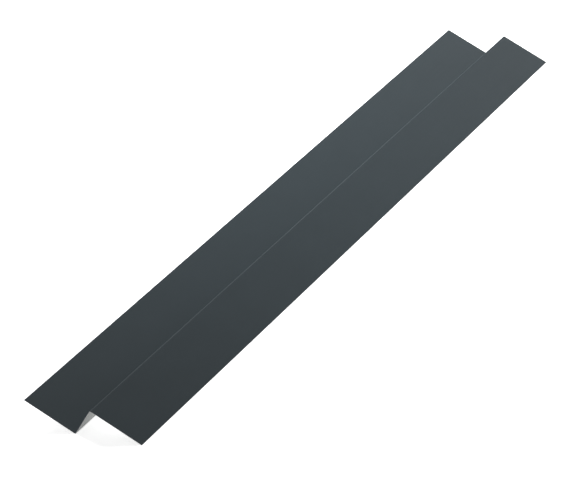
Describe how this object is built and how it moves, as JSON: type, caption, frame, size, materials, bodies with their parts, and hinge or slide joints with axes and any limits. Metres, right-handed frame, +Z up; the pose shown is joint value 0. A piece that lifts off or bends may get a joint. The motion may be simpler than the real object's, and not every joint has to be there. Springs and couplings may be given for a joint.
{
  "type": "z flashing",
  "caption": "Long strip of dark grey coated steel sheet folded to a Z: upstand, sloping shelf and apron, with a pale grey back.",
  "frame": {"origin": "centre of the footprint of the strip as it lies, on the floor", "axes": "+X along the strip, +Z up as it lies, +Y from the upstand over the shelf to the apron"},
  "size_m": [2, 0.2392, 0.0516],
  "materials": {
    "coil_coat": "smooth semi-matt coil coat, dark slate grey on the face and pale grey on the back"
  },
  "bodies": {
    "root": {"z_flashing": "coil_coat"}
  },
  "joints": []
}
